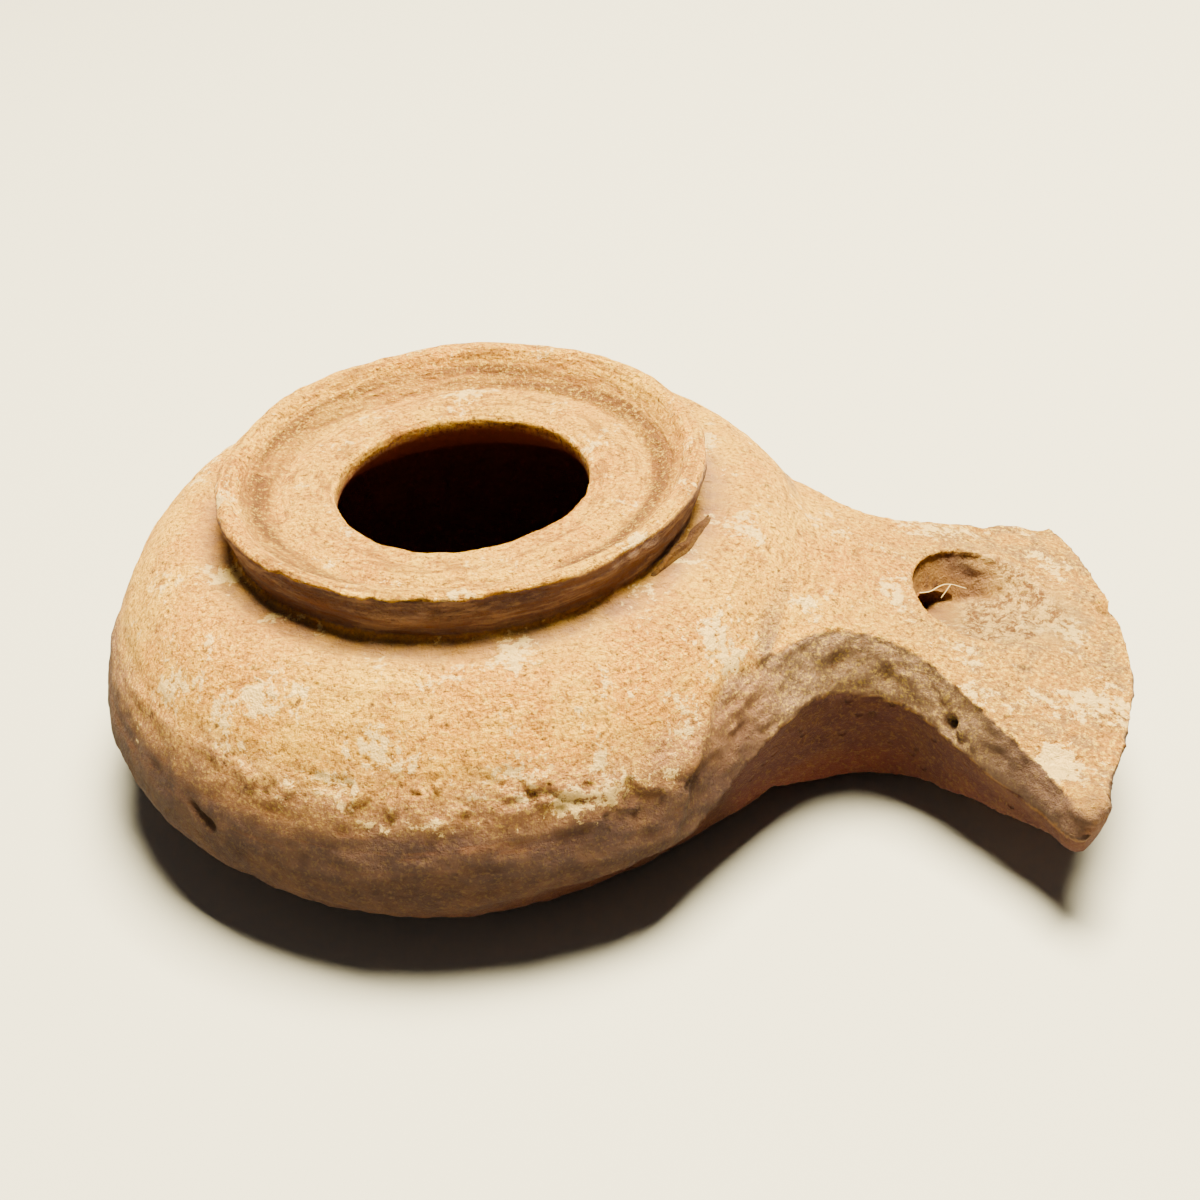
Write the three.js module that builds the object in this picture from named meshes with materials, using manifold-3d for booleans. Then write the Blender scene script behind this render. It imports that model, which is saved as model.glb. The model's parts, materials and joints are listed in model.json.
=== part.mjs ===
import * as THREE from 'three';
import { mergeVertices } from 'three/addons/utils/BufferGeometryUtils.js';
import { ParametricGeometry } from 'three/addons/geometries/ParametricGeometry.js';
import Module from 'manifold-3d';

const wasm = await Module();
wasm.setup();

// Driving dimensions in millimetres: the wheel-made body
const baseRadius = 21;
const bellyRadius = 33;
const bellyHeight = 9.5;
const shoulderRadius = 24.1;
const shoulderHeight = 23.4;
const collarFootRadius = 19.6;
const collarFootBevel = 0.5;
const lipRadius = 20.9;
const lipHeight = 28.2;
const lipWidth = 2;
const discusHeight = 25.8;
const discusRadius = 16.3;
const fillHoleRadius = 10.75;

// Driving dimensions: the hollow
const wall = 4.8;
const floorThickness = 4.2;
const floorRadius = 11.5;
const discusEdgeThickness = 1.7;
const channelHalfWidth = 4.8;
const channelHalfHeight = 3.3;
const channelHeight = 9.4;
const channelTaper = 1.3;

// Driving dimensions: the nozzle, whose near side is the one towards -Y
const nozzleRoot = 23.1;
const nozzleTipReach = 56;
const tipArcRadius = 36;
const tipApexOffset = -6;
const tipThickness = 4;
const tipSlant = 1.2;
const nozzleTopHeight = 14.68;
const nozzleTopFall = 0.25;
const nozzleUndersideHeight = 0.4;
const shoulderBlendReach = 40;
const shoulderBlendRise = 3.2;
const shoulderBlendPower = 2.2;
const tipDroop = 0.004;
const rootDroop = 0.034;
const undersideCurve = 1.6;
const undersideBow = 0.002;
const neckBow = 0.06;
const neckBowReach = 37;
const slabRootHalf = 12.5;
const slabTipHalf = 28;
const slabSplayRun = 18.1;
const wickHoleReach = 44;
const wickHoleOffset = 0.3;
const wickHoleHalfLength = 6.1;
const wickHoleHalfWidth = 6.8;
const wickHoleThroat = 0.57;
const wickHoleFlare = 1.6;
const wickHoleLean = 0.3;
const wickHoleLevels = [-0.45, 0, 0.35, 0.7, 1, 1.5];

// Driving dimensions: the knife paring of its sides
const neckReach = 34.6;
const neckArcRadius = 7.25;
const nearNeckWidth = 8.5;
const farNeckWidth = 9.8;
const nearWingAngle = 45;
const farWingAngle = 17.3;
const nearArmAngle = 30;
const farArmAngle = 21;
const lowerArmAngle = 11;
const facetHeight = 4.9;
const facetFade = 0.25;
const facetLean = 1.5;
const undercutAngle = 10;
const shavingHeight = 6.9;

// Where the four edges of a pared side run out on the body, in shares of its greatest radius
const undersideEnd = { x: 0.06, y: 0.72, lead: 0.27, run: 0.39, turn: 17 };
const shavingEnd = { x: 0.12, y: 0.98, lead: 0.26, run: 0.44, turn: 17 };
const facetFootEnd = { x: 0.6, y: 0.79, lead: 0.09, run: 0.24, turn: 49 };
const facetTopEnd = { x: 0.68, y: 0.68, lead: 0.17, run: 0.2, turn: 90 };

// Facets round the wheel-made forms, along their curves and round the nozzle, and the overrun of the cuts
const turnSegments = 60;
const curveSegments = 7;
const nozzleSegments = 26;
const holeSegments = 32;
const cutClearance = 6;

// A share of the greatest radius
const belly = (share) => bellyRadius * share;

// A closed geometry as a solid that can be joined and cut
function solidOf(geometry) {
  const bare = geometry.clone();
  bare.deleteAttribute('normal');
  bare.deleteAttribute('uv');
  const merged = mergeVertices(bare, 0.0001);
  const mesh = new wasm.Mesh({
    numProp: 3,
    vertProperties: new Float32Array(merged.attributes.position.array),
    triVerts: new Uint32Array(merged.index.array),
  });
  return new wasm.Manifold(mesh);
}

function turned(path) {
  const profile = path.getPoints(curveSegments);
  return solidOf(new THREE.LatheGeometry(profile, turnSegments).rotateX(Math.PI / 2));
}

// End of a skin: every point of the ring is drawn in to the ring's centre
function fanned(ring) {
  const sum = ring.reduce((total, point) => total.add(point), new THREE.Vector3());
  return ring.map(() => sum.clone().divideScalar(ring.length));
}

// End of a skin: each point meets the one opposite it on the line midway between them
function folded(ring) {
  return ring.map((point, i) => point.clone().lerp(ring[ring.length - 1 - i], 0.5));
}

// A closed skin through rings of equally many points
function skinned(rings, closing) {
  const count = rings[0].length;
  const rows = [closing(rings[0]), ...rings, closing(rings[rings.length - 1])];
  const stacks = rows.length - 1;
  const at = (u, v, target) =>
    target.copy(rows[Math.round(v * stacks)][Math.round(u * count) % count]);
  return solidOf(new ParametricGeometry(at, count, stacks));
}

// Outside of the body: flat underside, belly, shoulder, collar, lip and sunken discus
function bodyProfile() {
  const spread = bellyRadius - baseRadius;
  const rise = shoulderHeight - bellyHeight;
  const slope = bellyRadius - shoulderRadius;
  const path = new THREE.Path();
  path.moveTo(0, 0);
  path.lineTo(baseRadius, 0);
  path.bezierCurveTo(
    baseRadius + spread * 0.46, bellyHeight * 0.06,
    bellyRadius, bellyHeight * 0.46,
    bellyRadius, bellyHeight
  );
  path.bezierCurveTo(
    bellyRadius, bellyHeight + rise * 0.22,
    shoulderRadius + slope * 0.46, shoulderHeight,
    shoulderRadius, shoulderHeight
  );
  path.lineTo(collarFootRadius + collarFootBevel, shoulderHeight);
  path.lineTo(collarFootRadius, shoulderHeight + collarFootBevel);
  path.lineTo(lipRadius, lipHeight - lipWidth / 2);
  path.bezierCurveTo(
    lipRadius, lipHeight + lipWidth / 6,
    lipRadius - lipWidth, lipHeight + lipWidth / 6,
    lipRadius - lipWidth, lipHeight - lipWidth / 2
  );
  path.quadraticCurveTo(
    (lipRadius - lipWidth + discusRadius) / 2, discusHeight,
    discusRadius, discusHeight
  );
  path.lineTo(0, discusHeight);
  return path;
}

// Reservoir under the discus, open upward through the filling hole
function hollowProfile() {
  const innerBelly = bellyRadius - wall;
  const innerShoulder = shoulderHeight - wall;
  const underDiscus = discusHeight - discusEdgeThickness;
  const path = new THREE.Path();
  path.moveTo(0, floorThickness);
  path.lineTo(floorRadius, floorThickness);
  path.bezierCurveTo(
    (floorRadius + innerBelly) / 2, floorThickness,
    innerBelly, (floorThickness + bellyHeight) / 2,
    innerBelly, bellyHeight
  );
  path.bezierCurveTo(
    innerBelly, (bellyHeight + innerShoulder) / 2,
    shoulderRadius, innerShoulder,
    collarFootRadius, innerShoulder
  );
  path.quadraticCurveTo(
    discusRadius, innerShoulder,
    fillHoleRadius, underDiscus
  );
  path.lineTo(fillHoleRadius, lipHeight + cutClearance);
  path.lineTo(0, lipHeight + cutClearance);
  return path;
}

// Height of the nozzle's top: it falls to the tip, droops to its sides and rises into the shoulder
function nozzleTop(x, y) {
  const fall = nozzleTopHeight - nozzleTopFall * (x - wickHoleReach);
  const near = Math.max(0, (shoulderBlendReach - Math.hypot(x, y)) / (shoulderBlendReach - nozzleRoot));
  const droop = tipDroop + rootDroop * Math.max(0, 1 - x / nozzleTipReach) ** 2;
  return fall + shoulderBlendRise * near ** shoulderBlendPower - droop * y * y;
}

// Height of the nozzle's underside, which rises to the thin tip
function nozzleUnderside(x, y) {
  const tip = nozzleTop(nozzleTipReach, 0) - tipThickness;
  const start = bellyRadius - wall;
  const along = Math.max(0, (x - start) / (nozzleTipReach - start));
  const bow = undersideBow + neckBow * Math.max(0, 1 - x / neckBowReach);
  return nozzleUndersideHeight + (tip - nozzleUndersideHeight) * along ** undersideCurve + bow * y * y;
}

// Slab of the nozzle with a curved tip, before its sides are pared
function nozzleSlab() {
  const rings = [];
  for (let i = 0; i <= nozzleSegments; i += 1) {
    const ring = [];
    for (const side of [1, -1]) {
      for (let j = 0; j <= nozzleSegments; j += 1) {
        const share = side * ((2 * j) / nozzleSegments - 1);
        const reach = side > 0 ? nozzleTipReach : nozzleTipReach - tipSlant;
        const tip = reach - (share * slabTipHalf - tipApexOffset) ** 2 / (2 * tipArcRadius);
        const x = nozzleRoot + ((tip - nozzleRoot) * i) / nozzleSegments;
        const splay = Math.min(1, (x - nozzleRoot) / slabSplayRun);
        const y = share * (slabRootHalf + (slabTipHalf - slabRootHalf) * splay);
        const z = side > 0 ? nozzleTop(x, y) : nozzleUnderside(x, y);
        ring.push(new THREE.Vector3(x, y, z));
      }
    }
    rings.push(ring.reverse());
  }
  return skinned(rings, folded);
}

// Plan of one pared side: straight wing, round neck and an arm that runs out on the body
function paringPlan(neckWidth, wingAngle, { inset, arm: armAngle, end }) {
  const wing = THREE.MathUtils.degToRad(wingAngle);
  const arm = THREE.MathUtils.degToRad(armAngle);
  const turn = THREE.MathUtils.degToRad(end.turn);
  const radius = neckArcRadius - inset;
  const centreY = neckWidth + neckArcRadius;
  const wingX = neckReach + radius * Math.sin(wing);
  const wingY = centreY - radius * Math.cos(wing);
  const armX = neckReach - radius * Math.sin(arm);
  const armY = centreY - radius * Math.cos(arm);
  const outX = nozzleTipReach + cutClearance;
  const outY = bellyRadius + cutClearance;
  const path = new THREE.Path();
  path.moveTo(outX, wingY + (outX - wingX) * Math.tan(wing));
  for (const share of [0.75, 0.5, 0.25]) {
    const reach = (outX - wingX) * share;
    path.lineTo(wingX + reach, wingY + reach * Math.tan(wing));
  }
  path.absarc(neckReach, centreY, radius, wing - Math.PI / 2, -arm - Math.PI / 2, true);
  path.bezierCurveTo(
    armX - belly(end.lead) * Math.cos(arm), armY + belly(end.lead) * Math.sin(arm),
    belly(end.x + end.run * Math.cos(turn)), belly(end.y - end.run * Math.sin(turn)),
    belly(end.x), belly(end.y)
  );
  path.lineTo(belly(end.x), outY);
  path.lineTo(outX, outY);
  return path.getPoints(curveSegments + 1);
}

// Knife paring of one side: a facet that leans outward over the shaved belly and the undercut nozzle
function paring(neckWidth, wingAngle, upperArmAngle, side) {
  const slope = Math.tan(THREE.MathUtils.degToRad(undercutAngle));
  const lowest = -cutClearance;
  const facetAt = (point) => {
    const away = Math.min(1, Math.abs(point.x - neckReach) / (2 * neckArcRadius));
    return facetHeight * (1 - facetFade * away);
  };
  const footOf = (point) => Math.max(nozzleTop(point.x, point.y) - facetAt(point), shavingHeight + facetLean);
  const neckFoot = footOf(new THREE.Vector2(neckReach, neckWidth));
  const undercutAt = (z) => facetLean - (neckFoot - z) * slope;
  const aboveOf = (point) => footOf(point) + 2 * facetAt(point);
  const levels = [
    { inset: undercutAt(lowest), arm: lowerArmAngle, heightOf: () => lowest, end: undersideEnd },
    { inset: undercutAt(shavingHeight), arm: lowerArmAngle, heightOf: () => shavingHeight, end: shavingEnd },
    { inset: facetLean, arm: upperArmAngle, heightOf: footOf, end: facetFootEnd },
    { inset: -facetLean, arm: upperArmAngle, heightOf: aboveOf, end: facetTopEnd },
  ];
  const rings = levels.map((level) =>
    paringPlan(neckWidth, wingAngle, level).map(
      (point) => new THREE.Vector3(point.x, side * point.y, level.heightOf(point))
    )
  );
  return skinned(side > 0 ? rings.map((ring) => ring.reverse()) : rings, fanned);
}

// Passage from the reservoir to the wick hole
function channel() {
  const length = wickHoleReach - nozzleRoot;
  const tube = new THREE.CylinderGeometry(1, channelTaper, length, holeSegments);
  tube.rotateZ(-Math.PI / 2);
  tube.scale(1, channelHalfWidth, channelHalfHeight);
  return solidOf(tube.translate(nozzleRoot + length / 2, 0, channelHeight));
}

// Wick hole, a funnel that is steep toward the body and slopes gently toward the tip
function wickHole() {
  const depth = nozzleTop(wickHoleReach, 0) - channelHeight;
  const rings = wickHoleLevels.map((level) => {
    const flare = THREE.MathUtils.clamp(level, 0, 1);
    const widen = wickHoleThroat + (1 - wickHoleThroat) * flare ** wickHoleFlare;
    const centreX = wickHoleReach - wickHoleLean * wickHoleHalfLength * (1 - flare);
    const ring = [];
    for (let i = 0; i < holeSegments; i += 1) {
      const angle = (2 * Math.PI * i) / holeSegments;
      const x = centreX + wickHoleHalfLength * widen * Math.cos(angle);
      const y = wickHoleOffset + wickHoleHalfWidth * widen * Math.sin(angle);
      const z = channelHeight + level * (depth - nozzleTopFall * (x - wickHoleReach));
      ring.push(new THREE.Vector3(x, y, z));
    }
    return ring;
  });
  return skinned(rings, fanned);
}

const lamp = turned(bodyProfile())
  .add(nozzleSlab())
  .subtract(paring(nearNeckWidth, nearWingAngle, nearArmAngle, -1))
  .subtract(paring(farNeckWidth, farWingAngle, farArmAngle, 1))
  .subtract(turned(hollowProfile()))
  .subtract(channel())
  .subtract(wickHole());

const cut = lamp.getMesh();
const skin = new THREE.BufferGeometry();
skin.setAttribute('position', new THREE.BufferAttribute(new Float32Array(cut.vertProperties), 3));
skin.setIndex(new THREE.BufferAttribute(new Uint32Array(cut.triVerts), 1));
skin.computeVertexNormals();

const firedClay = new THREE.MeshStandardMaterial({ color: 0xb98a5e, roughness: 0.93, metalness: 0 });
firedClay.name = 'fired_clay';
const lampBody = new THREE.Mesh(skin, firedClay);
lampBody.name = 'lamp_body';

const oilLamp = new THREE.Group();
oilLamp.add(lampBody);
export default oilLamp;
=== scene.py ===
import json
import math

import bmesh
import bpy
import numpy as np
from mathutils import Matrix, Vector, kdtree

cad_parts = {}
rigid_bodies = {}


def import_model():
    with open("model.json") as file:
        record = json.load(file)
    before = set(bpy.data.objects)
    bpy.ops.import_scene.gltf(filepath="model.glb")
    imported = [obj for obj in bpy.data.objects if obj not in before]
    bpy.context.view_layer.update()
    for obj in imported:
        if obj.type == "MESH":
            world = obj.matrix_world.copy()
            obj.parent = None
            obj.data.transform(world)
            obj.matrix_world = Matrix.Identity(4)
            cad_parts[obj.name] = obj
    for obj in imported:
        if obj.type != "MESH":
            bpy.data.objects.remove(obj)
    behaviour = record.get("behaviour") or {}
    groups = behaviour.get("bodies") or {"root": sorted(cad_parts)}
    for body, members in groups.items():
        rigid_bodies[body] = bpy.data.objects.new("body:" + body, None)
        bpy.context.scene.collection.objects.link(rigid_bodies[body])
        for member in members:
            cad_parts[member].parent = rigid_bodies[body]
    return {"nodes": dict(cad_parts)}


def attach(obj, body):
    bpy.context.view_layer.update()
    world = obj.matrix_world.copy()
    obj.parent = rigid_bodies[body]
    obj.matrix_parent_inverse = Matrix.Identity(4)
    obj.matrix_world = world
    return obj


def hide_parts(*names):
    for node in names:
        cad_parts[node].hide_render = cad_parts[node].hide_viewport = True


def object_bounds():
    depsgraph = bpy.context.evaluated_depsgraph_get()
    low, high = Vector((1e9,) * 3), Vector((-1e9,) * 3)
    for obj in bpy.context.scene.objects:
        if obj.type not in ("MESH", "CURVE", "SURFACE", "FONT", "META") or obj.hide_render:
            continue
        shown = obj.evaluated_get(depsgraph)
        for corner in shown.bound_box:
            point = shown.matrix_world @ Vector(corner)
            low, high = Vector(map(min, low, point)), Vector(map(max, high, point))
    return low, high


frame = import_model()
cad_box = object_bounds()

MM = 0.001

# shares of the skin that the clay's finish reads: by part of the lamp, and by wear, dirt and painted shade
PAINTED = ("inside", "wall", "slope", "foot", "facet", "undercut", "grey", "low", "turned", "bare")
WEAR_AND_SHADE = ("belly", "lower_half_shade", "lime", "crumb", "soot_and_shade", "dark", "sandy")

# the fine skin, in millimetres: how near points are welded, its step, and the step of the marks along an
# edge; then the least angle in degrees of an edge that stays crisp, the share of the faces in the dark
# hollow that is merged, and the most triangles in all
WELD = 0.002
SKIN_STEP = 0.34
CREASE_STEP = 0.4
CRISP_ANGLE = 28
HOLLOW_MERGED = 0.75
MOST_TRIANGLES = 192000

# radius and height of the body's two curves, as the solid was turned, in millimetres
BELLY = ((21, 0), (26.5, 0.6), (33, 4.4), (33, 9.5))
SHOULDER = ((33, 9.5), (33, 12.6), (28.2, 23.4), (24.1, 23.4))

# the wick hole's middle and half widths along and across the nozzle, and the nozzle's top at it
WICK_MIDDLE = (43.5, 0.7)
WICK_HALF = (6.0, 7.3)
NOZZLE_TOP = 14.75
NOZZLE_FALL = 0.25
NOZZLE_TOP_REACH = 43.3

# the torn edge round the body: its height in millimetres at these degrees round the axis
TORN_ANGLES = (-180, -140, -120, -105, -88, -77, -68, -61, -54, -45)
TORN_HEIGHTS = (15.5, 15.5, 15.6, 16, 16.4, 16, 15.5, 14.9, 14.3, 13.6)

# pits, dents and chips: place, size and depth in millimetres, and how much painted shade darkens them
PITS = (
    ((41.0, -13.1, 11.0), 0.6, 1.6, 1.0), ((34.7, -9.6, 9.0), 0.4, 0.4, 0.5),
    ((38.4, -9.9, 5.7), 0.35, 0.4, 0.7), ((48.9, -18.6, 12.1), 1.6, 0.85, 0.0),
    ((54.3, 2.2, 12.2), 0.9, 0.9, 0.5), ((44.2, 11.2, 14.2), 1.4, 0.6, 0.1),
    ((49.2, 13.3, 13.0), 1.3, 0.5, 0.1), ((46.8, 12.4, 13.6), 0.8, 0.4, 0.0),
    ((36.0, -9.4, 13.2), 0.4, 0.35, 0.1), ((37.6, -10.6, 14.1), 0.35, 0.3, 0.1),
    ((30.6, -10.9, 17.0), 0.6, 0.35, 0.2), ((5.6, -21.6, 23.4), 0.4, 0.3, 0.3),
    ((6.4, -21.9, 23.3), 0.3, 0.3, 0.4), ((4.6, -22.2, 23.3), 0.3, 0.25, 0.4),
    ((33.0, 1.5, 17.6), 0.7, 0.3, 0.2), ((34.6, 2.9, 17.3), 0.5, 0.25, 0.1),
)

# patches of lime: place and size in millimetres, and how much lime
LIME_PATCHES = (
    ((49.4, -18.2, 11.9), 1.7, 1.1), ((54.0, 1.2, 12.6), 0.7, 0.9), ((24.1, -17.5, 16.4), 2.0, 0.32),
    ((25.9, -14.5, 18.2), 1.6, 0.3), ((46.6, -12.7, 13.2), 3.0, 0.32), ((22.0, -12.5, 22.8), 2.5, 0.3),
    ((23.0, -16.3, 20.4), 2.6, 0.34), ((30.7, 5.6, 18.4), 2.4, 0.42), ((28.8, -7.2, 18.9), 1.6, 0.4),
    ((1.8, -25.4, 22.9), 2.0, 0.34), ((11.2, -20.7, 23.4), 2.0, 0.28), ((6.8, -20.6, 23.4), 1.2, 0.4),
    ((11.6, -25.7, 20.5), 2.4, 0.36), ((-13.8, -24.3, 20.7), 3.2, 0.3), ((-17.6, -24.3, 17.6), 3.0, 0.28),
    ((36.5, 7.6, 15.9), 2.4, 0.34),
)

# a gouge and thin scratches: ends, width and depth in millimetres, how much painted shade darkens them, and
# how much lime
SCRATCHES = (
    ((-18.9, -26.7, 11.7), (-17.0, -28.1, 10.7), 0.38, 0.5, 1.0, 0),
    ((-5.3, -25.6, 22.6), (-4.6, -29.1, 18.8), 0.3, 0.1, 0, 0.5),
    ((25.2, -14.0, 18.6), (20.0, -17.5, 20.2), 0.3, 0.12, 0.3, 0.3),
    ((-9.5, -28.6, 17.6), (-3.0, -30.2, 17.0), 0.35, 0.16, 0.3, 0.4),
)

# the block of earth in the wick hole: its low corner's reach and side, its length and width,
# and the height of its top and foot at these reaches
EARTH_CORNER = (38.7, -6.3)
EARTH_SPAN = (11.8, 13.1)
EARTH_REACHES = (38.7, 39.9, 41.5, 44, 47, 49.5, 50.5)
EARTH_TOPS = (11.6, 12.1, 12.1, 12.2, 12.5, 12.8, 12.5)
EARTH_FEET = (3.6, 8.0)

# the flap at the collar's foot: its start and sweep in degrees, then millimetres
FLAP_START = -32
FLAP_SWEEP = 28
FLAP_FOOT_RADIUS = 20.35
FLAP_FOOT_HEIGHT = 23.1
FLAP_TALL = 1.35
FLAP_THICKNESS = 0.42

# dry rootlets in the wick hole: thickness and route in millimetres
ROOTLETS = {
    "long_rootlet": (
        0.10,
        ((38.5, -1.8, 16.0), (39.4, -1.1, 15.7), (40.2, -0.3, 15.7), (41.0, 0.4, 15.4), (42.4, 0.4, 15.0)),
    ),
    "short_rootlet": (0.08, ((41.1, 0.4, 15.4), (40.7, -0.2, 15.1), (40.3, -0.9, 14.9))),
}

# lime shows where its pattern passes the first level and is thick at the second
LIME_THIN = 1.01
LIME_THICK = 1.08


# Small tools

def linear(hex_colour):
    """An sRGB hex colour as linear red, green, blue and alpha."""
    parts = [int(hex_colour[i:i + 2], 16) / 255 for i in (1, 3, 5)]
    return tuple(c / 12.92 if c <= 0.04045 else ((c + 0.055) / 1.055) ** 2.4 for c in parts) + (1.0,)


def select_only(piece):
    """Everything is deselected, and then this piece alone is selected and active."""
    for other in bpy.context.scene.objects:
        other.select_set(False)
    piece.select_set(True)
    bpy.context.view_layer.objects.active = piece


def apply_modifier(piece, kind, **settings):
    """A modifier with these settings, put on the piece and applied."""
    select_only(piece)
    modifier = piece.modifiers.new(kind.lower(), kind)
    for name, value in settings.items():
        setattr(modifier, name, value)
    bpy.ops.object.modifier_apply(modifier=modifier.name)


def add(tree, kind, inputs=None, **settings):
    """One node: its settings, and its sockets by name or number, each a value or the socket that feeds it."""
    made = tree.nodes.new(kind)
    for name, value in settings.items():
        setattr(made, name, value)
    for name, value in (inputs or {}).items():
        if isinstance(value, bpy.types.NodeSocket):
            tree.links.new(value, made.inputs[name])
        else:
            made.inputs[name].default_value = value
    return made


def ramp(value, low, high):
    """0 below low and 1 above high, with a smooth change between them."""
    share = np.clip((value - low) / (high - low), 0, 1)
    return share * share * (3 - 2 * share)


def lumps(points, size, seed):
    """Smooth seeded unevenness from -1 to 1, with lumps about size across."""
    scaled = points / size + seed * 17.31
    cell = np.floor(scaled).astype(np.int64)
    part = scaled - cell
    fade = part ** 3 * (part * (part * 6 - 15) + 10)
    total = np.zeros(len(points))
    for corner in range(8):
        step = np.array([corner & 1, corner >> 1 & 1, corner >> 2 & 1])
        at = cell + step
        mixed = at[:, 0] * 73856093 ^ at[:, 1] * 19349663 ^ at[:, 2] * 83492791 ^ seed * 2654435761
        mixed = (mixed ^ mixed >> 13) * 1274126177 & 0xFFFFFFFF
        mixed = mixed ^ mixed >> 16
        weight = np.where(step, fade, 1 - fade).prod(axis=1)
        total += weight * (mixed & 0xFFFF) / 0xFFFF
    return total * 2 - 1


# The clay lamp

def skin_of_solid():
    """The lamp's own solid, copied and merged."""
    lamp = bpy.data.objects.new("clay_lamp", frame["nodes"]["lamp_body"].data.copy())
    bpy.context.scene.collection.objects.link(lamp)
    select_only(lamp)
    bpy.ops.object.mode_set(mode="EDIT")
    bpy.ops.mesh.select_all(action="SELECT")
    bpy.ops.mesh.remove_doubles(threshold=WELD * MM)
    bpy.ops.object.mode_set(mode="OBJECT")
    return lamp


def crease_tree(lamp, least_angle):
    """Points along the solid's sharp edges, ready for finding the nearest one."""
    solid = bmesh.new()
    solid.from_mesh(lamp.data)
    marks = []
    for edge in solid.edges:
        if len(edge.link_faces) == 2 and edge.calc_face_angle() > math.radians(least_angle):
            first, second = (vertex.co for vertex in edge.verts)
            steps = max(1, round(edge.calc_length() / (CREASE_STEP * MM)))
            marks += [first.lerp(second, step / steps) for step in range(steps + 1)]
    solid.free()
    tree = kdtree.KDTree(len(marks))
    for number, mark in enumerate(marks):
        tree.insert(mark, number)
    tree.balance()
    return tree


def read_skin(lamp):
    """The places and normals of the lamp's points, in millimetres."""
    count = len(lamp.data.vertices)
    places = np.empty(count * 3, np.float32)
    normals = np.empty(count * 3, np.float32)
    lamp.data.vertices.foreach_get("co", places)
    lamp.data.vertex_normals.foreach_get("vector", normals)
    return places.reshape(-1, 3).astype(float) / MM, normals.reshape(-1, 3).astype(float)


def write_skin(lamp, places):
    """The lamp's points are put at these places, in millimetres."""
    lamp.data.vertices.foreach_set("co", (places * MM).astype(np.float32).ravel())
    lamp.data.update()


def body_radius(height):
    """Radius of the wheel-made body at a height: belly curve below, shoulder curve above."""
    t = np.linspace(0, 1, 40)[:, None]
    belly, shoulder = (
        a * (1 - t) ** 3 + 3 * b * t * (1 - t) ** 2 + 3 * c * t * t * (1 - t) + d * t ** 3
        for a, b, c, d in (np.array(BELLY), np.array(SHOULDER))
    )
    radius, level = np.concatenate([belly, shoulder[1:]]).T
    return np.interp(height, level, radius)


def along(points, start, end):
    """Distance of each point from the line between start and end."""
    start, end = np.array(start, float), np.array(end, float)
    run = end - start
    share = np.clip(((points - start) @ run) / (run @ run), 0, 1)
    return np.linalg.norm(points - start - share[:, None] * run, axis=1)


def near(points, place, size):
    """1 at a place, falling softly to 0 about twice size away."""
    return np.exp(-((points - np.array(place, float)) ** 2).sum(axis=1) / (size * size))


def line_mark(value, at, width):
    """A soft band where value is near at."""
    return np.exp(-((value - at) / width) ** 2)


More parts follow.
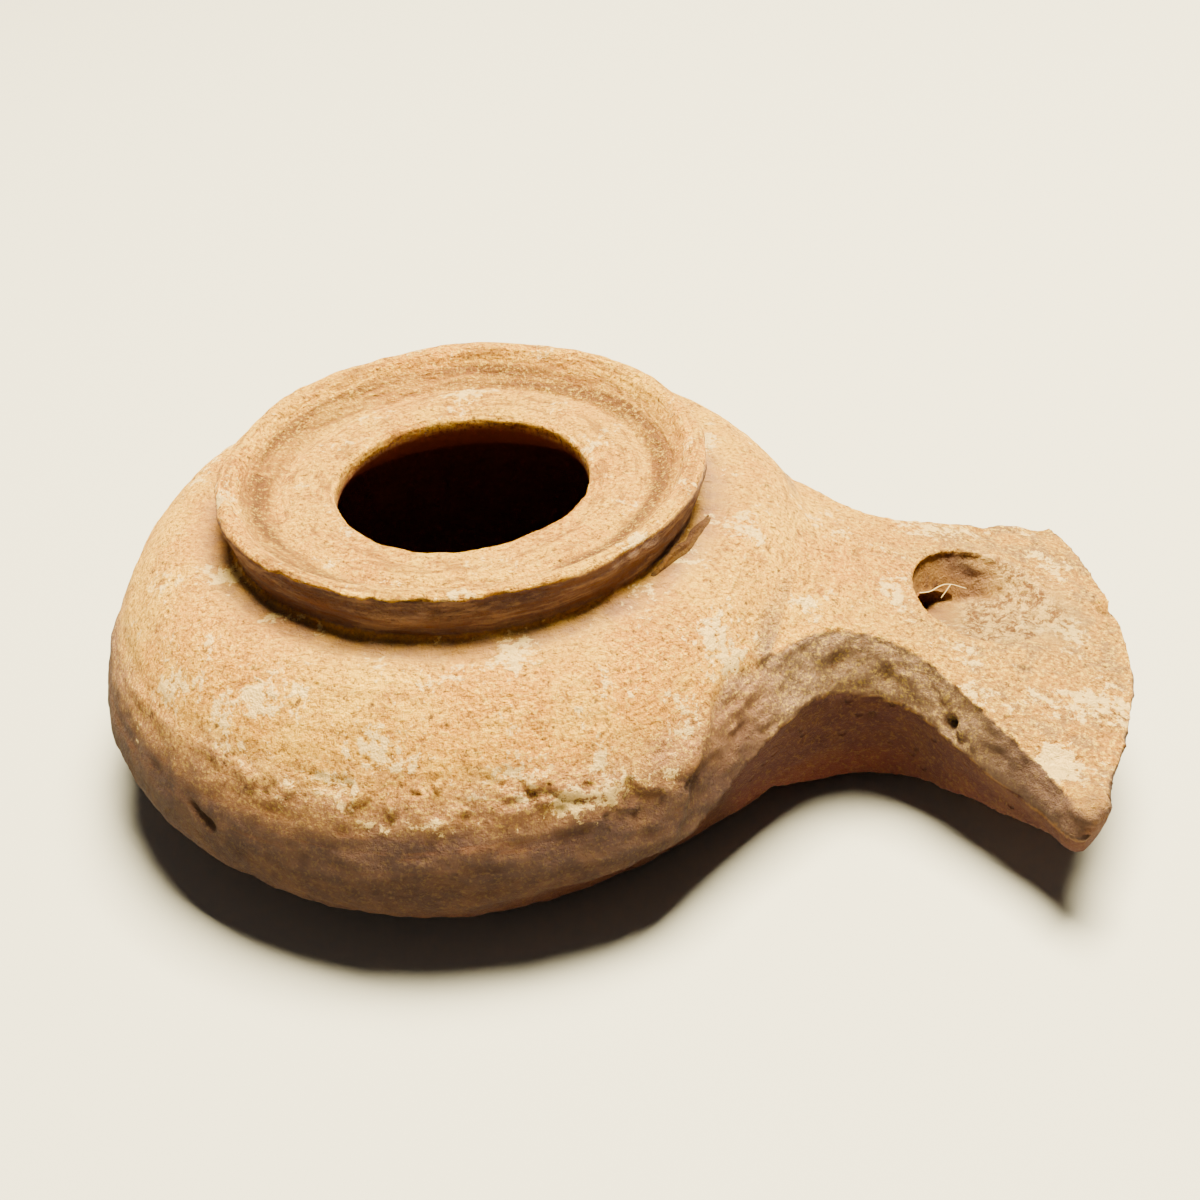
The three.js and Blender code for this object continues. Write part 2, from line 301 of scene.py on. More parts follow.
def zones(p, n):
    """Shares from 0 to 1 that say which part of the lamp each point belongs to."""
    x, y, z = p.T
    r = np.hypot(x, y)
    zone = {}
    # the hollow and the channel
    outward = (n[:, 0] * x + n[:, 1] * y) / np.maximum(r, 0.1)
    deep = ramp(body_radius(z) - r, 2.0, 3.2) * (1 - ramp(outward, 0.15, 0.45))
    under_top = 1 - ramp(z - np.interp(r, [10.9, 11.4, 19, 24], [24.7, 23.9, 21.5, 20.8]), -0.5, 0.5)
    hollow = deep * under_top * ramp(z, 2.0, 2.6) * (1 - ramp(x, 26, 28) * ramp(z, 12.5, 13.5))
    feed = ramp(x, 24, 27) * (1 - ramp(x, 37.5, 40)) * (1 - ramp(abs(y), 4.9, 5.6)) * ramp(z, 5.2, 5.9)
    feed *= 1 - ramp(z, 12.6, 13.2)
    zone["inside"] = np.clip(np.maximum(hollow * (1 - ramp(x, 27, 29)), feed), 0, 1)
    out = 1 - zone["inside"]
    # the collar, its upright wall and the sunken discus
    zone["collar"] = ramp(r, 18.7, 19.1) * (1 - ramp(r, 21.2, 21.5)) * ramp(z, 23.35, 23.8) * out
    zone["wall"] = zone["collar"] * (1 - ramp(n[:, 2], 0.15, 0.55)) * ramp(r, 19.0, 19.4)
    zone["discus"] = (1 - ramp(r, 19.2, 20.0)) * ramp(z, 24.2, 25.0) * out
    # the nozzle's pared sides, and what lies under them
    off_body = np.maximum(ramp(abs(r - body_radius(z)), 0.25, 0.7), ramp(x, 25, 26.5))
    side = ramp(x, 21, 23.5) * ramp(abs(y), 4.5, 6) * out * off_body * (1 - ramp(z, 20, 22))
    zone["facet"] = side * ramp(n[:, 2], -0.12, -0.02) * (1 - ramp(n[:, 2], 0.5, 0.68)) * ramp(z, 6, 7.5)
    zone["undercut"] = side * (1 - ramp(n[:, 2], -0.04, 0.06)) * ramp(x, 22, 24)
    # the wick hole, below the nozzle's top
    wick = ((x - WICK_MIDDLE[0]) / WICK_HALF[0]) ** 2 + ((y - WICK_MIDDLE[1]) / WICK_HALF[1]) ** 2
    lowered = NOZZLE_TOP - NOZZLE_FALL * (x - NOZZLE_TOP_REACH) - z
    zone["wick_hole"] = (1 - ramp(wick, 0.9, 1.2)) * ramp(z, 6, 7) * ramp(lowered, 0.1, 0.5) * ramp(x, 36, 38)
    # the open shoulder, the discus's slope and the collar's foot
    zone["shoulder"] = (1 - ramp(r, 33.5, 36)) * ramp(r, 20.6, 21.2) * ramp(n[:, 2], 0.1, 0.3)
    zone["shoulder"] *= 1 - zone["facet"]
    zone["shoulder"] *= out
    zone["slope"] = zone["discus"] * ramp(r, 15.5, 16.6) * (1 - ramp(r, 18.2, 18.9))
    zone["foot"] = line_mark(r, 21.0, 1.6) * ramp(z, 22.4, 22.9) * (1 - ramp(z, 23.8, 24.6)) * out
    # where the clay is duller, redder low down (partly a painted reddish reflection), free of lime, or lined
    # by turning
    zone["grey"] = ramp(x, 30, 45) * (1 - zone["facet"]) * (1 - zone["undercut"]) * out
    zone["low"] = (1 - ramp(z, 0.5, 7)) * out
    low_body = (1 - ramp(z, 10, 15)) * (1 - ramp(x, 24, 30))
    bare = zone["undercut"] + zone["wall"] + 0.6 * zone["facet"] + zone["slope"] + low_body
    zone["bare"] = np.clip(bare, 0, 1)
    zone["turned"] = np.maximum(wheel_made(zone), 0.4 * zone["shoulder"])
    return zone


def wheel_made(zone):
    """The parts that were turned last, where the wheel's lines still show."""
    return np.maximum(zone["collar"], zone["discus"])


def soften(lamp, weights, rounds):
    """The skin is smoothed where the weights say, in steps of a tenth."""
    group = lamp.vertex_groups.new(name="soft")
    for level in range(1, 11):
        chosen = np.nonzero(np.round(weights * 10) == level)[0]
        if len(chosen):
            group.add(chosen.tolist(), level / 10, "REPLACE")
    apply_modifier(lamp, "SMOOTH", factor=0.5, iterations=rounds, vertex_group="soft")
    lamp.vertex_groups.clear()


def even_out(lamp, creases):
    """The flats left by the solid's facets are smoothed away, and its true edges stay crisp.
    The nozzle's top is drawn smoothly into the shoulder, as a wet thumb leaves it."""
    p, n = read_skin(lamp)
    x, y, z = p.T
    r = np.hypot(x, y)
    away = np.array([creases.find(point * MM)[2] for point in p]) / MM
    crisp = 1 - ramp(away, 0.35, 1.3)
    lip = ramp(r, 18.6, 19.0) * (1 - ramp(r, 21.2, 21.6)) * ramp(z, 23.2, 23.6)
    soften(lamp, np.clip(1 - 0.93 * np.maximum(crisp * (1 - 0.5 * lip), 0.35 * lip), 0, 1), 22)
    join = ramp(x, 20, 24) * (1 - ramp(x, 35, 39)) * ramp(n[:, 2], 0.45, 0.7) * ramp(z, 13.5, 14.5)
    join *= 1 - crisp
    soften(lamp, np.clip(join * (1 - zones(p, n)["inside"]), 0, 1), 120)


def potter_marks(p, n, zone):
    """Depth in millimetres, outward positive, of the marks left by the wheel, the knife and the hand."""
    x, y, z = p.T
    r = np.hypot(x, y)
    angle = np.arctan2(y, x)
    round_way = np.stack([angle * 6, r, z], axis=1)
    out = 1 - zone["inside"]
    wheel = wheel_made(zone)
    swell = 0.17 * lumps(p, 11, 1) * (1 - 0.6 * wheel)
    depth = out * (swell + 0.10 * lumps(p, 4.2, 2) + 0.06 * lumps(p, 1.7, 3))
    depth += out * 0.05 * lumps(p, 0.9, 12)
    turned = 0.15 * lumps(round_way * [0.5, 1, 1], 0.8, 4)
    depth += zone["collar"] * (turned + 0.08 * lumps(round_way, 1.9, 5))
    depth += zone["discus"] * (0.07 * lumps(round_way * [0.3, 1, 0.3], 0.8, 6) + 0.06 * lumps(p, 2.4, 7))
    depth += zone["shoulder"] * 0.06 * lumps(round_way * [0.4, 1, 1], 1.0, 8)
    # a faint groove turned just outside the collar's foot
    depth -= 0.16 * line_mark(r, 21.9, 0.45) * zone["shoulder"]
    # the discus is turned down in a shallow ring inside the slope
    depth -= 0.26 * line_mark(r, 15.9, 0.55) * zone["discus"]
    depth += 0.10 * line_mark(r, 13.4, 1.3) * zone["discus"]
    # knife drag along the pared facet, and the smoother stroke below it
    drag = np.stack([x, y, z * 4], axis=1)
    torn = 0.14 * lumps(drag, 2.4, 9) + 0.14 * lumps(p, 1.1, 10) + 0.08 * lumps(p, 0.7, 13)
    depth += zone["facet"] * torn
    depth += zone["undercut"] * 0.05 * lumps(drag, 4, 11)
    return depth


def wear_marks(p, n, zone):
    """Depth of the breaks, chips, pits and smears, and the masks that colour them, among them painted shade
    in the pits, crevices, broken edges, wick hole and lower body.
    """
    x, y, z = p.T
    r = np.hypot(x, y)
    angle = np.degrees(np.arctan2(y, x))
    depth = np.zeros(len(p))
    mask = {"lime": np.zeros(len(p)), "dark": np.zeros(len(p))}
    ring = np.stack([np.radians(angle) * 31, 0 * r, 0 * z], axis=1)

    # ragged edge where the smoothed shoulder ends over the rough lower body
    edge = np.interp(angle, TORN_ANGLES, TORN_HEIGHTS)
    edge = edge + 0.6 * lumps(ring, 8, 21) + 0.5 * lumps(ring, 2.6, 22) + 0.35 * lumps(ring, 1.1, 23)
    reach = ramp(angle, -178, -140) * (1 - ramp(angle, -47, -43))
    broken = np.clip(0.25 + 1.3 * lumps(ring, 3.2, 24) + 0.3 * line_mark(angle, -62, 12), 0, 1)
    strength = reach * broken * (0.2 + 0.8 * ramp(angle, -98, -72))
    above = z - edge
    on_body = (1 - ramp(abs(r - body_radius(z)), 0.8, 1.4)) * (1 - zone["inside"])
    depth += on_body * reach * (0.05 + 0.16 * broken) * line_mark(above, 0.7, 0.7)
    crust = lumps(p, 2.4, 44) + 0.65 * lumps(p, 1.2, 45) + 0.4 * lumps(p, 0.7, 46)
    plate = ramp(crust, 0.02, 0.2)
    band = on_body * reach * line_mark(above, -0.2, 1.9) * (0.35 + 0.65 * ramp(angle, -128, -80))
    depth += band * (0.36 * plate - 0.18)
    # painted shade along the steps of the crust
    mask["dark"] += band * 0.3 * line_mark(crust, -0.02, 0.1)
    mask["lime"] += band * 0.12 * plate
    crevice = on_body * strength * (0.3 + 0.7 * ramp(crust, -0.5, 0.1))
    depth -= crevice * 0.22 * line_mark(above, -0.3, 0.3)
    # painted shadow in the crevice under the torn edge
    mask["dark"] += crevice * 0.45 * line_mark(above, -0.3, 0.22)
    mask["lime"] += on_body * reach * 0.15 * line_mark(above, 1.5, 0.8) * ramp(lumps(ring, 3, 41), 0, 0.5)
    lower = on_body * (1 - ramp(above, -1.2, 0.6)) * ramp(z, 1, 3)
    depth += lower * (0.10 * lumps(p * [0.6, 0.6, 1.6], 1.5, 25) + 0.06 * lumps(p, 0.8, 40))

    # the rough lower body is painted dark brown, partly a darker clay and partly painted shade, with a
    # lighter brown band of painted half-shade just above the torn edge
    level = z + 0.9 * lumps(p, 4, 26) - 0.5 * lumps(p, 1.4, 42)
    mask["belly"] = (1 - zone["inside"]) * (1 - ramp(level, 12.2, 16.8)) * (1 - ramp(x, 24, 29))
    mask["belly"] += 0.85 * zone["facet"] * ramp(x, 40, 47)
    mask["lower_half_shade"] = (1 - zone["inside"]) * (1 - ramp(level, 15.2, 19.2)) * (1 - ramp(x, 24, 29))

    # near edge of the lip, broken off in a ragged line, with a painted shadow under its overhang
    lip = 27.65 + 0.24 * lumps(ring, 3.1, 27) + 0.22 * lumps(ring, 1.2, 28)
    torn = ramp(angle, -136, -124) * (1 - ramp(angle, -66, -52)) * ramp(r, 20.0, 20.4) * zone["collar"]
    depth -= torn * 0.8 * ramp(lip - z, -0.08, 0.12) * (1 - ramp(lip - z, 0.7, 2.0))
    mask["dark"] += torn * line_mark(lip - z, 0.14, 0.2) * ramp(lumps(ring, 2.3, 43), -0.6, 0.2)

    # lip worn flat and whitened on its near right
    worn = near(p, (16.6, -12.2, 27.6), 2.6) * zone["collar"]
    depth -= worn * 0.35
    depth += worn * 0.3 * lumps(p, 1.0, 47)
    mask["lime"] += worn * 0.45

    # pits and dents, darkened with painted shade
    for place, size, deep, dark in PITS:
        here = near(p, place, size)
        depth -= deep * here
        mask["dark"] += dark * np.clip(here * 1.6 - 0.3, 0, 1)
    for place, size, share in LIME_PATCHES:
        mask["lime"] += share * near(p, place, size)

    # the near corner of the tip is left thick and blunt
    depth += 0.8 * near(p, (52.2, -22.6, 10.4), 1.8) + 0.9 * near(p, (51.4, -21.6, 7.8), 2.4)

    # little lime clings to the collar's upright wall
    mask["lime"] *= 1 - 0.8 * zone["wall"]

    # the gouge and scratches, darkened inside with painted shade, some whitened with lime
    for start, end, width, deep, dark, lime in SCRATCHES:
        here = np.exp(-(along(p, start, end) / width) ** 2)
        depth -= deep * here
        mask["dark"] += dark * here
        mask["lime"] += lime * here

    # crumbs of earth and lime on the slope of the wick hole, which dishes the clay towards the tip
    hole = zone["wick_hole"]
    steep = 1 - ramp(n[:, 2], 0.45, 0.8)
    dish = near(p * [1, 0.7, 1], (49.6, -0.3, 13.2), 2.2) * ramp(n[:, 2], 0.4, 0.7)
    depth -= 0.5 * dish
    loose = np.clip(hole * ramp(x, 40.8, 43.0) * (1 - 0.85 * steep) + dish, 0, 1)
    depth += loose * (0.55 * abs(lumps(p, 1.6, 30)) + 0.5 * abs(lumps(p, 0.9, 31)) - 0.3)
    mask["crumb"] = loose
    # painted shade on the wick hole's steep walls and under its left rim, and soot at the tip's near corner
    shaded = np.maximum(steep * (1 - ramp(x, 45.5, 48)), 0.9 * (1 - ramp(x, 40.4, 42.4)))
    depth -= 0.5 * hole * steep * ramp(y, -1, 2) * (1 - ramp(x, 45, 47))
    mask["soot_and_shade"] = np.clip(0.9 * hole * shaded + 0.9 * near(p, (51.6, -22.8, 9.6), 1.5), 0, 1)
    return depth, mask


def caked_earth():
    """Earth caked in the wick hole: a heap that rises a little towards the tip and the near side."""
    bpy.ops.object.select_all(action="DESELECT")
    bpy.ops.mesh.primitive_cube_add(size=1)
    heap = bpy.context.object
    heap.name = "caked_earth"
    bpy.ops.object.mode_set(mode="EDIT")
    bpy.ops.mesh.subdivide(number_cuts=24)
    bpy.ops.object.mode_set(mode="OBJECT")
    unit = read_skin(heap)[0] * MM + 0.5
    x = EARTH_CORNER[0] + EARTH_SPAN[0] * unit[:, 0]
    y = EARTH_CORNER[1] + EARTH_SPAN[1] * unit[:, 1]
    top = np.interp(x, EARTH_REACHES, EARTH_TOPS)
    top += 1.4 * ramp(-y, -1, 5) * (1 - ramp(x, 45, 49))
    top -= 1.7 * ramp(y, -1.5, 5) * (1 - ramp(x, 45.5, 49))
    foot = np.interp(x, (EARTH_REACHES[0], EARTH_REACHES[-1]), EARTH_FEET)
    write_skin(heap, np.stack([x, y, foot + (top - foot) * unit[:, 2]], axis=1))
    return heap


def clay_lamp():
    """The solid's copy with its earth, made one fine skin, smoothed, worn and painted with masks."""
    lamp = skin_of_solid()
    creases = crease_tree(lamp, CRISP_ANGLE)
    heap = caked_earth()
    select_only(lamp)
    heap.select_set(True)
    bpy.ops.object.join()
    apply_modifier(lamp, "REMESH", mode="VOXEL", voxel_size=SKIN_STEP * MM)
    even_out(lamp, creases)
    p, n = read_skin(lamp)
    zone = zones(p, n)
    worn, mask = wear_marks(p, n, zone)
    moved = p + n * (potter_marks(p, n, zone) + worn)[:, None]
    low, high = (np.array(corner) / MM for corner in cad_box)
    write_skin(lamp, np.clip(moved, low, high))
    # pale sand shows on the open buff skin, and hardly where the skin is painted dark, much of it painted
    # shade
    dull = zone["undercut"] + zone["wall"] + 0.35 * zone["slope"] + 0.3 * zone["facet"]
    dull = dull + mask["belly"] + mask["soot_and_shade"] + zone["foot"]
    mask["sandy"] = 1 - np.clip(dull, 0, 0.93)
    mask.update({name: zone[name] for name in PAINTED})
    for name, share in mask.items():
        attribute = lamp.data.attributes.new(name, "FLOAT", "POINT")
        attribute.data.foreach_set("value", np.clip(share, 0, 1).astype(np.float32))
    # fewer faces in the dark hollow and where the clay is flat
    unseen = np.nonzero(zone["inside"] > 0.9)[0]
    hidden = lamp.vertex_groups.new(name="hidden")
    hidden.add(unseen.tolist(), 1.0, "REPLACE")
    apply_modifier(lamp, "DECIMATE", ratio=1 - HOLLOW_MERGED * len(unseen) / len(p), vertex_group="hidden")
    lamp.vertex_groups.clear()
    triangles = sum(len(face.vertices) - 2 for face in lamp.data.polygons)
    apply_modifier(lamp, "DECIMATE", ratio=min(1, MOST_TRIANGLES / triangles))
    for polygon in lamp.data.polygons:
        polygon.use_smooth = True
    return lamp


def collar_flap():
    """A thin flap of clay squeezed out at the collar's foot and folded up against its wall."""
    bpy.ops.object.select_all(action="DESELECT")
    bpy.ops.mesh.primitive_grid_add(x_subdivisions=30, y_subdivisions=5, size=1)
    flap = bpy.context.object
    flap.name = "collar_flap"
    count = len(flap.data.vertices)
    grid = np.empty(count * 3, np.float32)
    flap.data.vertices.foreach_get("co", grid)
    run, rise = grid.reshape(-1, 3)[:, 0] + 0.5, grid.reshape(-1, 3)[:, 1] + 0.5
    angle = np.radians(FLAP_START + FLAP_SWEEP * run)
    length = np.stack([run * 11, 0 * run, 0 * run], axis=1)
    tall = FLAP_TALL * np.sin(np.pi * np.clip(0.08 + 0.88 * run, 0, 1)) ** 0.7
    tall = tall * (1 + 0.25 * lumps(length, 1.7, 51))
    foot = FLAP_FOOT_RADIUS + 1.3 * run ** 1.5 + 0.2 * lumps(length, 2.6, 52)
    radius = foot + rise * (0.12 - 0.5 * run) + 0.22 * np.sin(2 * np.pi * rise) * run
    height = FLAP_FOOT_HEIGHT + rise * tall + 0.12 * lumps(length + rise[:, None] * 2, 1.1, 53)
    write_skin(flap, np.stack([radius * np.cos(angle), radius * np.sin(angle), height], axis=1))
    apply_modifier(flap, "SOLIDIFY", thickness=FLAP_THICKNESS * MM, offset=0)
    apply_modifier(flap, "SUBSURF", levels=1, render_levels=1)
    # painted with the slope's and belly's browns as its shade, and with painted shade darker towards its
    # foot, where it turns under
    under = 1 - ramp(read_skin(flap)[0][:, 2], 23.3, 23.9)
    for name, share in (("slope", 1.0), ("belly", 0.45), ("bare", 1.0), ("dark", 0.2 + 0.8 * under)):
        shade = flap.data.attributes.new(name, "FLOAT", "POINT")
        shade.data.foreach_set("value", np.broadcast_to(share, under.shape).astype(np.float32))
    for polygon in flap.data.polygons:
        polygon.use_smooth = True
    return flap


def rootlet(name, points, thickness):
    """A dry hair root through these points, tapering to its end."""
    curve = bpy.data.curves.new(name, "CURVE")
    curve.dimensions = "3D"
    curve.bevel_depth = thickness / 2 * MM
    curve.bevel_resolution = 1
    curve.use_fill_caps = True
    curve.resolution_u = 6
    strand = curve.splines.new("BEZIER")
    strand.bezier_points.add(len(points) - 1)
    for number, (knot, place) in enumerate(zip(strand.bezier_points, points)):
        knot.co = Vector(place) * MM
        knot.handle_left_type = knot.handle_right_type = "AUTO"
        knot.radius = 1 - 0.45 * number / (len(points) - 1)
    root = bpy.data.objects.new(name, curve)
    bpy.context.scene.collection.objects.link(root)
    select_only(root)
    bpy.ops.object.convert(target="MESH")
    return bpy.context.object


# Finishes

def fired_clay():
    """Unglazed wheel-thrown earthenware: a dry, sandy matte skin with no gloss, buff where it was smoothed,
    browner where the knife tore it (partly painted shade), and pale where lime from the ground still clings
    to it.
    Shade is painted into its colour on the lower body, undercut, collar wall and foot, discus slope, pits,
    crevices, wick hole and hollow, and a reddish reflection low down."""
    material = bpy.data.materials.new("unglazed_thrown_earthenware")
    material.use_nodes = True
    tree = material.node_tree
    tree.nodes.clear()
    place = add(tree, "ShaderNodeTexCoord").outputs["Object"]

    # the way the wheel ran: out from the axis, round it, and up
    inputs = {0: place, 1: (1, 1, 0)}
    level = add(tree, "ShaderNodeVectorMath", inputs, operation="MULTIPLY").outputs["Vector"]
    radius = add(tree, "ShaderNodeVectorMath", {0: level}, operation="LENGTH").outputs["Value"]
    split = add(tree, "ShaderNodeSeparateXYZ", {0: place}).outputs
    turn = add(tree, "ShaderNodeMath", {0: split["Y"], 1: split["X"]}, operation="ARCTAN2").outputs["Value"]
    drawn_out = add(tree, "ShaderNodeMath", {0: turn, 1: 0.0025}, operation="MULTIPLY").outputs["Value"]
    wheel_way = add(tree, "ShaderNodeCombineXYZ", {0: radius, 1: drawn_out, 2: split["Z"]}).outputs["Vector"]

    # the masks painted on the skin
    mask = {}
    for name in PAINTED + WEAR_AND_SHADE:
        mask[name] = add(tree, "ShaderNodeAttribute", attribute_name=name).outputs["Fac"]

    # patterns, by the width of their largest lumps in millimetres; real sand here is 0.1 to 0.3 mm across,
    # and it is drawn 0.36 mm and 0.7 mm across so that it shows
    pattern = {}
    for name, width, detail, roughness, way in (
        ("clouds", 11, 5, 0.6, place), ("pale", 6, 5, 0.65, place), ("mottle", 2.3, 4, 0.6, place),
        ("scum", 4.5, 3, 0.55, place), ("ragged", 1.0, 6, 0.8, place), ("grit", 0.7, 4, 0.7, place),
        ("sand", 0.36, 3, 0.75, place), ("wheel_lines", 0.75, 4, 0.65, wheel_way),
        ("wheel_bands", 2.2, 4, 0.6, wheel_way),
    ):
        inputs = {"Vector": way, "Scale": 1000 / width, "Detail": detail, "Roughness": roughness}
        pattern[name] = add(tree, "ShaderNodeTexNoise", inputs).outputs["Fac"]

    # lime from the ground: fine specks crowded in patches, thicker where it was pressed in
    inputs = {0: mask["lime"], 1: 0.3, 2: pattern["scum"]}
    crowded = add(tree, "ShaderNodeMath", inputs, operation="MULTIPLY_ADD").outputs["Value"]
    inputs = {0: mask["bare"], 1: -0.25, 2: crowded}
    crowded = add(tree, "ShaderNodeMath", inputs, operation="MULTIPLY_ADD").outputs["Value"]
    inputs = {0: pattern["grit"], 1: 0.8, 2: crowded}
    pattern["lime"] = add(tree, "ShaderNodeMath", inputs, operation="MULTIPLY_ADD").outputs["Value"]

    # each layer of colour: its pattern's two levels, the shares there, and the mask that keeps it in place
    tone = linear("#da9c1c")
    for colour, look, low, high, at_low, at_high, kept in (
        # the buff ground, clouded and mottled
        ("#d48d16", "clouds", 0.38, 0.62, 0, 1, None),
        ("#ebb024", "pale", 0.48, 0.66, 0, 0.7, None),
        ("#a5661a", "mottle", 0.45, 0.31, 0, 0.65, "sandy"),
        # browner and darker in the discus's slope, on the collar's wall and at its foot: painted shade, the
        # slope's partly a browner clay too
        ("#5f3514", "wheel_bands", 0.38, 0.60, 0.95, 0.5, "slope"),
        ("#6a4c48", "wheel_bands", 0.35, 0.65, 1, 0.85, "wall"),
        ("#a57c5c", "wheel_lines", 0.48, 0.60, 0, 0.8, "wall"),
        ("#8a6656", "mottle", 0.35, 0.65, 0.8, 0.5, "foot"),
        # duller on the nozzle, brown where the knife pared (partly painted shade), and darkest below: painted
        # half-shade and shade on the lower body, partly a darker clay, painted shade in the undercut, and
        # redder at the bottom, partly a painted reddish reflection
        ("#a9762c", "pale", 0.32, 0.60, 0.4, 0.9, "grey"),
        ("#8d6a42", "mottle", 0.46, 0.62, 0, 0.75, "grey"),
        ("#937155", "ragged", 0.35, 0.65, 1, 1, "facet"),
        ("#775a46", "mottle", 0.42, 0.62, 0, 0.7, "facet"),
        ("#a3704c", "mottle", 0.35, 0.65, 0.95, 0.75, "lower_half_shade"),
        ("#452a23", "mottle", 0.35, 0.65, 1, 0.9, "belly"),
        # painted shade under the nozzle's pared sides
        ("#462421", "mottle", 0.35, 0.65, 1, 0.97, "undercut"),
        # redder at the bottom, partly a painted reddish reflection
        ("#6e3120", "clouds", 0.35, 0.60, 0.15, 0.6, "low"),
        # pale and dark sand grains, and the fine dark lines left by turning
        ("#f4c648", "sand", 0.51, 0.63, 0, 0.65, "sandy"),
        ("#744616", "sand", 0.48, 0.35, 0, 0.78, "sandy"),
        ("#4f3016", "grit", 0.42, 0.31, 0, 0.85, "sandy"),
        ("#7a4614", "wheel_lines", 0.50, 0.36, 0, 0.6, "turned"),
        # crumbs of earth with painted shade in the low places between them, lime, soot and painted shade in
        # the wick hole, painted shade in pits, crevices and under edges, and the hollow painted darker as
        # shade
        ("#efc06c", "grit", 0.36, 0.56, 0.3, 1, "crumb"),
        # painted shade in the low places between the crumbs
        ("#7a4a22", "ragged", 0.56, 0.44, 0, 0.95, "crumb"),
        ("#f2cc80", "lime", LIME_THIN, LIME_THICK, 0, 0.8, None),
        ("#6a4630", "mottle", 0.38, 0.62, 1, 0.45, "soot_and_shade"),
        # painted shade in pits, crevices and under edges
        ("#2c1a10", "grit", 0.35, 0.65, 1, 0.8, "dark"),
        # the hollow painted a darker red-brown, as shade
        ("#9a5836", "clouds", 0.35, 0.65, 1, 0.95, "inside"),
    ):
        inputs = {"Value": pattern[look], "From Min": low, "From Max": high}
        inputs |= {"To Min": at_low, "To Max": at_high}
        share = add(tree, "ShaderNodeMapRange", inputs, interpolation_type="SMOOTHSTEP").outputs["Result"]
        if kept:
            inputs = {0: share, 1: mask[kept]}
            share = add(tree, "ShaderNodeMath", inputs, operation="MULTIPLY").outputs["Value"]
        tone = add(tree, "ShaderNodeMix", {0: share, 6: tone, 7: linear(colour)}, data_type="RGBA").outputs[2]

    # relief too fine for the mesh, in shares of the bump's depth: sand, grit, pores and the wheel's lines
    inputs = {"Vector": place, "Scale": 1000 / 2.2, "Randomness": 1.0}
    pores = add(tree, "ShaderNodeTexVoronoi", inputs).outputs["Distance"]
    inputs = {"Value": pores, "From Min": 0.2, "From Max": 0.06, "To Min": 0, "To Max": 1}
    pores = add(tree, "ShaderNodeMapRange", inputs, interpolation_type="SMOOTHSTEP").outputs["Result"]
    pattern["pores"] = pores
    relief = 0.0
    for look, rise in (("ragged", 1.0), ("grit", 0.7), ("sand", 0.35), ("pores", -0.3)):
        inputs = {0: pattern[look], 1: rise, 2: relief}
        relief = add(tree, "ShaderNodeMath", inputs, operation="MULTIPLY_ADD").outputs["Value"]
    for look, kept, rise in (
        ("wheel_lines", "turned", 0.8), ("ragged", "undercut", -0.8), ("grit", "undercut", -0.5),
        ("ragged", "crumb", 1.0),
    ):
        inputs = {0: mask[kept], 1: rise}
        part = add(tree, "ShaderNodeMath", inputs, operation="MULTIPLY").outputs["Value"]
        inputs = {0: pattern[look], 1: part, 2: relief}
        relief = add(tree, "ShaderNodeMath", inputs, operation="MULTIPLY_ADD").outputs["Value"]
    inputs = {"Height": relief, "Strength": 1.0, "Distance": 1.5 * MM}
    bump = add(tree, "ShaderNodeBump", inputs).outputs["Normal"]

    # dry clay with no sheen, and the lime on it drier still
    inputs = {"Value": pattern["lime"], "From Min": LIME_THIN, "From Max": 1.09}
    inputs |= {"To Min": 0.9, "To Max": 0.98}
    rough = add(tree, "ShaderNodeMapRange", inputs).outputs["Result"]
    inputs = {"Base Color": tone, "Roughness": rough, "Normal": bump, "Specular IOR Level": 0.25, "IOR": 1.5}
    shader = add(tree, "ShaderNodeBsdfPrincipled", inputs).outputs["BSDF"]
    add(tree, "ShaderNodeOutputMaterial", {"Surface": shader})
    return material


def plain(name, colour, roughness):
    """One even finish."""
    material = bpy.data.materials.new(name)
    material.use_nodes = True
    shader = material.node_tree.nodes["Principled BSDF"]
    shader.inputs["Base Color"].default_value = linear(colour)
    shader.inputs["Roughness"].default_value = roughness
    return material


# Studio and camera

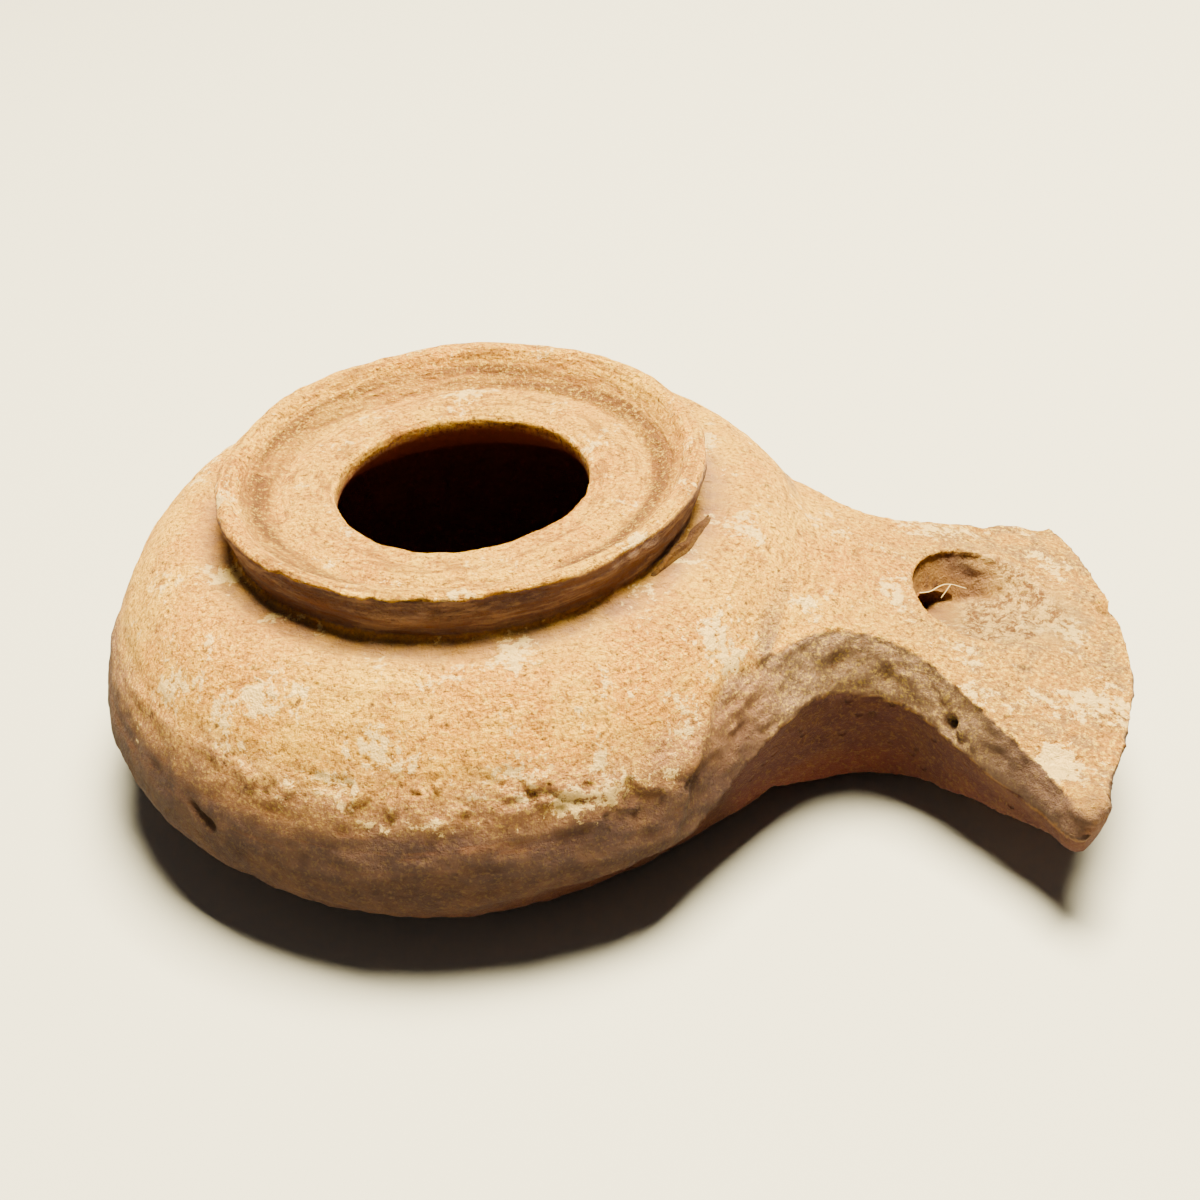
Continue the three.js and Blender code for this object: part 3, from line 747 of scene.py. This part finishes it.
def studio():
    """A matt board to stand on, a large warm light overhead, and a faint one low at the left."""
    bpy.ops.object.select_all(action="DESELECT")
    bpy.ops.mesh.primitive_plane_add(size=6, location=(0, 0, 0))
    floor = bpy.context.object
    floor.name = "studio_floor"
    floor.data.materials.append(plain("matt_painted_board", "#9c9890", 0.9))
    world = bpy.data.worlds.new("studio_air")
    world.use_nodes = True
    world.node_tree.nodes["Background"].inputs["Color"].default_value = (1, 0.97, 0.93, 1)
    world.node_tree.nodes["Background"].inputs["Strength"].default_value = 0.1
    bpy.context.scene.world = world
    for name, place, target, size, power, colour in (
        ("overhead_softbox", (0.08, 0.10, 0.6), (0.01, 0, 0), 0.30, 54, (1.0, 0.92, 0.62)),
        ("low_fill", (-0.5, -0.45, 0.25), (0, 0, 0.01), 0.4, 0.3, (1.0, 0.9, 0.8)),
    ):
        bpy.ops.object.light_add(type="AREA", location=place)
        light = bpy.context.object
        light.name = name
        light.data.size = size
        light.data.energy = power
        light.data.color = colour
        light.rotation_euler = (Vector(target) - Vector(place)).to_track_quat("-Z", "Y").to_euler()


def camera():
    """The camera that the photograph was taken from: 66 mm lens on a 36 mm frame, about 20 cm away."""
    lens = bpy.data.cameras.new("hand_camera")
    lens.lens = 66
    lens.sensor_width = 36
    lens.clip_start = 0.01
    view = bpy.data.objects.new("hand_camera", lens)
    bpy.context.scene.collection.objects.link(view)
    right = Vector((0.98968, 0.12438, -0.07119))
    up = Vector((-0.01328, 0.57417, 0.81861))
    back = Vector((0.14269, -0.80922, 0.5699))
    view.matrix_world = Matrix((
        (right.x, up.x, back.x, 0.0383),
        (right.y, up.y, back.y, -0.1551),
        (right.z, up.z, back.z, 0.1228),
        (0, 0, 0, 1),
    ))
    bpy.context.scene.camera = view


camera()
studio()
lamp = clay_lamp()
lamp.data.materials.clear()
lamp.data.materials.append(fired_clay())
flap = collar_flap()
flap.data.materials.append(lamp.data.materials[0])
roots = [rootlet(name, route, thickness) for name, (thickness, route) in ROOTLETS.items()]
root_skin = plain("dry_root_fibre", "#b89b66", 0.7)
for root in roots:
    root.data.materials.append(root_skin)
for piece in [lamp, flap] + roots:
    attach(piece, "root")
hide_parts("lamp_body")
